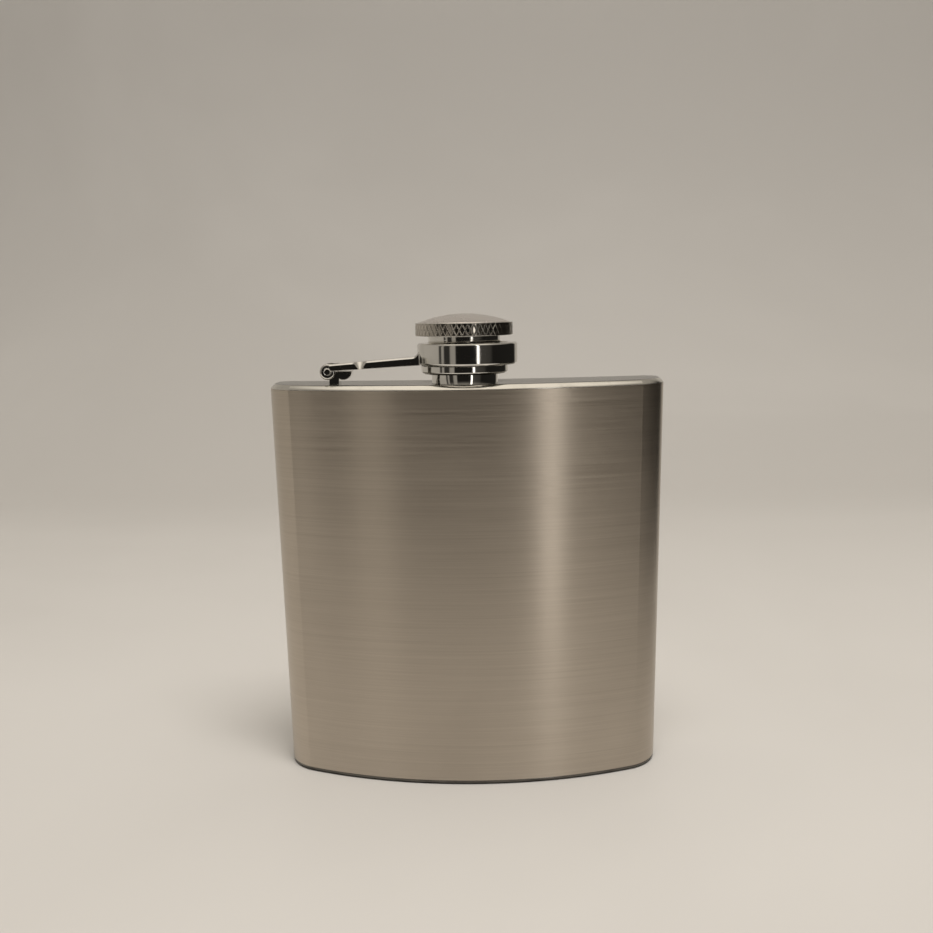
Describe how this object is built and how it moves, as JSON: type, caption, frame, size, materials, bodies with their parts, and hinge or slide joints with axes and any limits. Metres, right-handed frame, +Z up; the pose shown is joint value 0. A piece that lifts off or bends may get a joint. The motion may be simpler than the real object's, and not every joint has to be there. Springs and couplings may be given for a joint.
{
  "type": "hip flask",
  "caption": "Pocket hip flask: a tapering steel bottle of kidney section whose screw cap is held captive in a collar on a hinged arm.",
  "frame": {"origin": "on the surface it stands on, under the middle of its bounding box", "axes": "+Z up along the flask, the bulging front faces -Y, the hollow back +Y, and the cap's hinge is on the -X side of the neck"},
  "size_m": [0.094, 0.027, 0.1096],
  "materials": {
    "body_steel": "fine horizontal brushing",
    "plate_steel": "satin, with a bright rolled rim",
    "bright_steel": "polished",
    "cap_steel": "polished and knurled",
    "dome_steel": "satin, brushed in circles",
    "insert_brass": "turned",
    "seal_silicone": "matt"
  },
  "bodies": {
    "flask": {"body_shell": "body_steel", "top_plate": "plate_steel", "base_plate": "plate_steel", "neck": "bright_steel", "hinge_bracket": "bright_steel", "hinge_pin": "bright_steel"},
    "arm": {"swing_arm": "bright_steel", "captive_collar": "bright_steel"},
    "seal": {"cap_gasket": "seal_silicone"},
    "cap": {"cap_head": "cap_steel", "cap_dome": "dome_steel", "thread_insert": "insert_brass", "retaining_ring": "bright_steel"}
  },
  "joints": [
    {"name": "arm_swing", "type": "hinge", "parent": "flask", "child": "arm", "pos_m": [-0.0315, -0.00186, 0.0968], "axis": [0, -1, 0], "range_deg": [0, 180]},
    {"name": "cap_rise", "type": "slide", "parent": "arm", "child": "seal", "axis": [0, 0, 1], "range_m": [0, 0.00375]},
    {"name": "cap_turn", "type": "hinge", "parent": "seal", "child": "cap", "pos_m": [0, -0.00186, 0.1], "axis": [0, 0, 1], "range_deg": [0, 900]}
  ],
  "couplings": [
    {"joint": "cap_rise", "follows": "cap_turn", "m_per_rad": 0.00023873}
  ]
}
